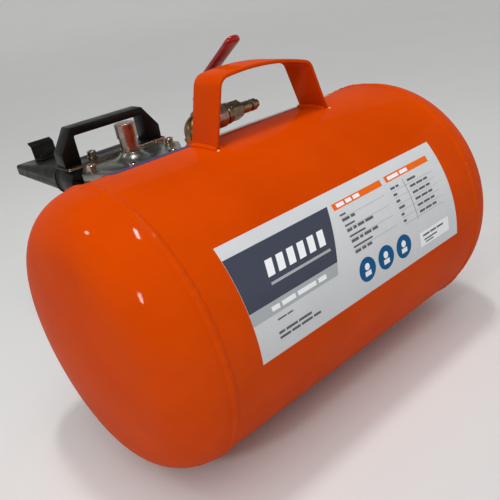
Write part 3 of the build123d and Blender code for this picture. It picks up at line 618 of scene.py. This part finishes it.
def front_label():
    label_low, label_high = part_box("label_front")
    left, right = label_low.x / MM, label_high.x / MM
    top = math.degrees(math.asin((label_high.z - AXIS_Z) / (TANK_R + LABEL_T)))
    top = math.radians(top) * TANK_R / MM
    sheet = wrapped("label_front_sheet", [(left, 0), (right, 0), (right, top), (left, top)],
                    "label_vinyl", 0.02 * MM, LABEL_T - 0.02 * MM)
    installed(sheet, "tank", "label_vinyl", "label_front")

    inner = left + 0.1
    slant_top, slant_low = -23.0, -38.0
    lean = (slant_top - slant_low) / (82.5 - 40.5)

    def edge(arc):
        return slant_top + lean * (arc - 82.5)

    slate = [(inner, 40.5), (edge(40.5), 40.5), (edge(82.5), 82.5), (inner, 82.5)]
    printed("label_slate", slate, "print_slate")
    printed("label_band", [(inner, 31), (edge(31), 31), (edge(40.3), 40.3), (inner, 40.3)], "print_band")
    printed("label_strip_a", bar(-18.5, 76.6, 62, 5.6), "print_orange")
    printed("label_strip_b", bar(49.5, 76.8, 62.2, 5.8), "print_orange")
    for i, (x, arc) in enumerate(((-7.6, 20.9), (17.4, 20.9), (42.5, 20.5))):
        printed(f"label_disc_{i}", disc(x, arc, 10.4), "print_blue")
    printed("label_sticker", bar(66.5, 9.3, 45, 13.2), "print_white")

    # plain bars and simple shapes where the real label has writing
    slants = [wrapped("slant", bar(-104 + 11 * i, 57, 7, 12, 3), "print_white", LABEL_T + PRINT_T)
              for i in range(6)]
    installed(joined("label_mark", slants), "tank", "label_vinyl")
    printed("label_mark_line", bar(-104, 51, 64, 2), "print_band", 1)
    written("label_band_words", [(-112, 33.6, 3.6, (8, 14, 20, 9))], "print_white")
    written("label_strip_words", [(-14, 77.8, 3.2, (9, 7, 8)), (53, 78, 3.2, (15, 11))], "print_white")
    rows = []
    for i, words in enumerate(((7,), (9, 5), (12,), (6, 4, 8, 10), (20,), (9, 4, 9, 7), (24,), (7, 5, 6))):
        rows.append((-16, 70.5 - i * 4.6, 1.5 if i % 2 == 0 else 2.3, words))
    for i, words in enumerate(((6, 4), (5,), (5,), (8,), (4,), (4,))):
        rows.append((50, 69.5 - i * 6.0, 2.0, words))
    for i, words in enumerate(((12,), (8, 9, 6), (8, 9, 6), (8, 9, 6), (8, 9, 6), (8, 9, 6))):
        rows.append((74, 69.5 - i * 6.0, 2.0, words))
    rows += [(-110, 25.5, 1.2, (9, 6)), (-112, 15, 2.0, (6, 12, 14)), (-112, 11, 2.0, (11, 9, 12, 8))]
    rows += [(71, 18, 1.8, (10, 9, 10)), (72, 14, 1.4, (20,)), (74, 11.4, 1.2, (12,))]
    written("label_words", rows, "print_ink")
    lines = [(x, arc, 0.35, (length,)) for x, arc, length in
             [(-16, 68.6, 56), (-16, 59.4, 56), (-16, 50.2, 56), (-16, 41, 56)]
             + [(50, 67.4 - i * 6.0, 60) for i in range(6)]]
    written("label_rules", lines, "print_band")
    written("label_divider", [(69, 35.7, 38.0, (0.5,))], "print_ink")

    # one plain white shape on each disc
    signs = []
    for i, (x, arc) in enumerate(((-7.6, 20.9), (17.4, 20.9), (42.5, 20.5))):
        signs.append(wrapped("sign", disc(x, arc + 2.4, 3.0, 24), "print_white", LABEL_T + PRINT_T))
        signs.append(wrapped("sign", bar(x - 3.8, arc - 5.6, 7.6, 4.2), "print_white", LABEL_T + PRINT_T))
    installed(joined("label_signs", signs), "tank", "label_vinyl")


def rear_label():
    """The second label, behind the ridge of the tank: navy at its left end, pale for the rest."""
    low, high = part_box("label_rear")
    reach = TANK_R + LABEL_T
    arcs = [TANK_R / MM * (math.pi / 2 + math.asin((y - AXIS_Y) / reach)) for y in (low.y, high.y)]
    split = -40.0
    parts = (("label_rear_navy", low.x / MM, split, "print_navy"),
             ("label_rear_pale", split, high.x / MM, "print_strip"))
    for i, (name, start, end, ink) in enumerate(parts):
        sheet = wrapped(name, [(start, arcs[0]), (end, arcs[0]), (end, arcs[1]), (start, arcs[1])],
                        ink, 0.02 * MM, LABEL_T - 0.02 * MM)
        installed(sheet, "tank", "label_vinyl", *(["label_rear"] if i == 0 else []))


def paint_chips():
    """Small knocks through the paint by the near corners of the handle's feet."""
    pieces = []
    for seed, x in enumerate((-58.0, 78.0)):
        for k in range(3):
            at = Vector((seed * 3.1 + k, 0.7 * k, 0.2))
            arc = 177 + 1.6 * k
            size = 0.9 - 0.2 * k
            outline = []
            for i in range(14):
                angle = 2 * math.pi * i / 14
                r = size * (1 + 0.5 * noise.noise(at + Vector((math.cos(angle), math.sin(angle), 0))))
                outline.append((x + 0.8 * k + 1.5 * r * math.cos(angle), arc + r * math.sin(angle)))
            pieces.append(wrapped("chip", outline, "primer", 0.03 * MM, 0.03 * MM))
    installed(joined("paint_chips", pieces), "tank", "orange_paint")


# ================= gauge =================

# the strokes of each digit, and each stroke's place: x and y in strokes, and whether it stands upright
SEGMENTS = {0: "abcdef", 1: "bc", 2: "abged", 4: "fgbc", 6: "afgedc", 8: "abcdefg"}
STROKES = {"a": (0, 1, 0), "b": (0.5, 0.5, 1), "c": (0.5, -0.5, 1), "d": (0, -1, 0), "e": (-0.5, -0.5, 1),
           "f": (-0.5, 0.5, 1), "g": (0, 0, 0)}


def dial_marks():
    """Ticks and plain numbers on the gauge's face."""
    sweep = next(j for j in frame["joints"] if j["name"] == "needle_sweep")
    face = -Vector(sweep["axis"]).normalized()      # the needle's axis points in towards the tank
    low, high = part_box("gauge_dial")
    middle = (low + high) / 2
    radius = (high.x - low.x) / 2
    reach = max((Vector(v.co) - middle).dot(face) for v in NODES["gauge_dial"].data.vertices)
    right = Vector((-1, 0, 0))
    up = face.cross(right)
    points, faces = [], []

    def stroke(x, y, length, width, turn):
        """One thin raised bar on the face."""
        start = len(points)
        for lift in (-0.01 * MM, 0.05 * MM):
            for a, b in ((-1, -1), (1, -1), (1, 1), (-1, 1)):
                u, v = a * length / 2, b * width / 2
                px = x + u * math.cos(turn) - v * math.sin(turn)
                py = y + u * math.sin(turn) + v * math.cos(turn)
                points.append(middle + right * px + up * py + face * (reach + lift))
        faces.extend(tuple(start + k for k in f) for f in
                     ((3, 2, 1, 0), (4, 5, 6, 7), (0, 1, 5, 4), (1, 2, 6, 5), (2, 3, 7, 6), (3, 0, 4, 7)))

    for i in range(51):
        angle = math.radians(225 - 270 * i / 50)
        major = i % 5 == 0
        length = radius * (0.16 if major else 0.08)
        at = radius * 0.92 - length / 2
        stroke(at * math.cos(angle), at * math.sin(angle), length, 0.5 * MM if major else 0.25 * MM, angle)
    size = radius * 0.13
    for number in range(0, 11, 2):
        angle = math.radians(225 - 27 * number)
        digits = [int(d) for d in str(number)]
        for k, digit in enumerate(digits):
            x = radius * 0.6 * math.cos(angle) + (k - (len(digits) - 1) / 2) * size * 1.3
            y = radius * 0.6 * math.sin(angle)
            for name in SEGMENTS[digit]:
                dx, dy, tall = STROKES[name]
                stroke(x + dx * size * 0.9, y + dy * size, size * 0.95, 0.35 * MM, math.pi / 2 * tall)
    return installed(built("dial_marks", points, faces, "needle_black"), "tank", "needle_black")


# ================= assemble =================

tank_wall()
for side in (-1, 1):
    tank_head(side)
    seam_weld(side)

welds_low, welds_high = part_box("handle_welds")
BEAD = 2.6 * MM
WELD_PITCH = 6 * MM         # from a foot's outer bead to its inner one
half_strap = (handle_high.y - handle_low.y) / 2
left_bead, right_bead = welds_low.x + BEAD, welds_high.x - BEAD
for i, x in enumerate((left_bead, left_bead + WELD_PITCH, right_bead - WELD_PITCH, right_bead)):
    foot_weld(f"foot_weld_{i}", x, half_strap + 0.5 * MM, 1.7 * i)

refined("carry_handle", 0.9 * MM, 3)
for node in ("foot_left", "foot_right", "rim_hook"):
    refined(node, 0.6 * MM, 2)
plate = refined("grip_plate", 0.4 * MM, 2)
# the side faces that face -y take a pale bare-steel finish: a painted highlight along the plate's near edge
plate.data.materials.append(MATERIALS["near_edge_highlight_steel"])
for face in plate.data.polygons:
    if face.normal.y < -0.5:
        face.material_index = 1
refined("grip_handle", 0.7 * MM, 2)
for node in ("outlet_elbow", "nozzle", "valve_body", "valve_cover"):
    refined(node, 0.7 * MM, 2)
refined("lever_plate", 0.3 * MM, 2)
fill_fitting("air_plug", [(44, 48, 6.6, 0), (48, 57, 5.9, 0), (57, 60.5, 4.3, 0), (60.5, 66, 5.9, 0),
                          (66, 70, 4.0, 0)], "pewter")
fill_fitting("hex_adapter", [(29.5, 30.5, 7.6, 0), (30.5, 44, 0, 17)], "pewter")
fill_fitting("ball_valve_tailpiece", [(22, 25, 9.5, 0), (25, 29.5, 10.4, 0)], "pewter", 5)
brass_elbow()
vinyl_sleeve()
front_label()
rear_label()
dial_marks()
paint_chips()

for node, thing in NODES.items():
    if thing.hide_render:
        continue
    material = MATERIALS[SLOT_OF[node]]
    for place in thing.material_slots:
        place.material = material

# ================= stage, light and camera =================

def stage_floor():
    """A plain floor that sweeps up into a backdrop a long way off."""
    flat, edge, lift = 5.0, 14.0, 0.12
    bm = bmesh.new()
    bmesh.ops.create_grid(bm, x_segments=96, y_segments=96, size=edge)
    for vert in bm.verts:
        away = min(math.hypot(vert.co.x, vert.co.y), edge) - flat
        vert.co.z = lift * max(0.0, away) ** 2
    mesh = bpy.data.meshes.new("floor")
    bm.to_mesh(mesh)
    bm.free()
    shaded(mesh)
    finish = Surface("floor_paint", linear(220, 220, 219), 0.85).mottle(2, 0.01).uneven(3, 0.03)
    new_object("floor", mesh, finish.material)


def softbox(name, spot, aim, size, power):
    lamp = bpy.data.lights.new(name, "AREA")
    lamp.shape = "RECTANGLE"
    lamp.size, lamp.size_y = size
    lamp.energy = power
    thing = bpy.data.objects.new(name, lamp)
    bpy.context.scene.collection.objects.link(thing)
    thing.location = spot
    thing.rotation_euler = (aim - spot).to_track_quat("-Z", "Y").to_euler()


stage_floor()
centre = Vector((0, AXIS_Y, AXIS_Z))
softbox("overhead", centre + 1.2 * Vector((-0.03, -0.04, 1.0)), centre, (0.08, 0.2), 4.2)
softbox("left", centre + 1.3 * Vector((-0.81, -0.33, 0.48)), centre, (0.08, 0.14), 2.8)
softbox("front_right", centre + 1.5 * Vector((0.46, -0.84, 0.29)), centre, (0.08, 0.08), 1.0)
softbox("left_rear", centre + 1.5 * Vector((-0.57, 0.47, 0.68)), centre, (0.06, 0.1), 1.2)


def sky_lamp(strength, spread):
    """Even light from a wide overhead diffuser."""
    lamp = bpy.data.lights.new("diffuser", "SUN")
    lamp.energy = strength
    lamp.angle = math.radians(spread)
    thing = bpy.data.objects.new("diffuser", lamp)
    bpy.context.scene.collection.objects.link(thing)
    thing.rotation_euler = Vector((0.25, 0.35, -1.0)).to_track_quat("-Z", "Y").to_euler()
    thing.visible_glossy = False


sky_lamp(1.6, 60)

world = bpy.data.worlds.new("studio")
world.use_nodes = True
world.node_tree.nodes["Background"].inputs["Color"].default_value = (0.97, 0.98, 1.0, 1.0)
world.node_tree.nodes["Background"].inputs["Strength"].default_value = 0.1
bpy.context.scene.world = world
bpy.context.scene.view_settings.view_transform = "Standard"


def aimed_camera():
    lens = bpy.data.cameras.new("camera")
    lens.lens = 42.31
    lens.sensor_width = 36.0
    lens.shift_x = -0.0263
    lens.shift_y = 0.1048
    lens.clip_start = 0.01
    thing = bpy.data.objects.new("camera", lens)
    bpy.context.scene.collection.objects.link(thing)
    forward = Vector((0.5404, 0.6794, -0.4964)).normalized()
    right = Vector((0.7206, -0.6783, -0.1438)).normalized()
    up = right.cross(forward)
    turn = Matrix((right, up, -forward)).transposed()
    thing.matrix_world = Matrix.Translation((-0.3417, -0.5183, 0.3842)) @ turn.to_4x4()
    bpy.context.scene.camera = thing


aimed_camera()
bpy.context.view_layer.update()
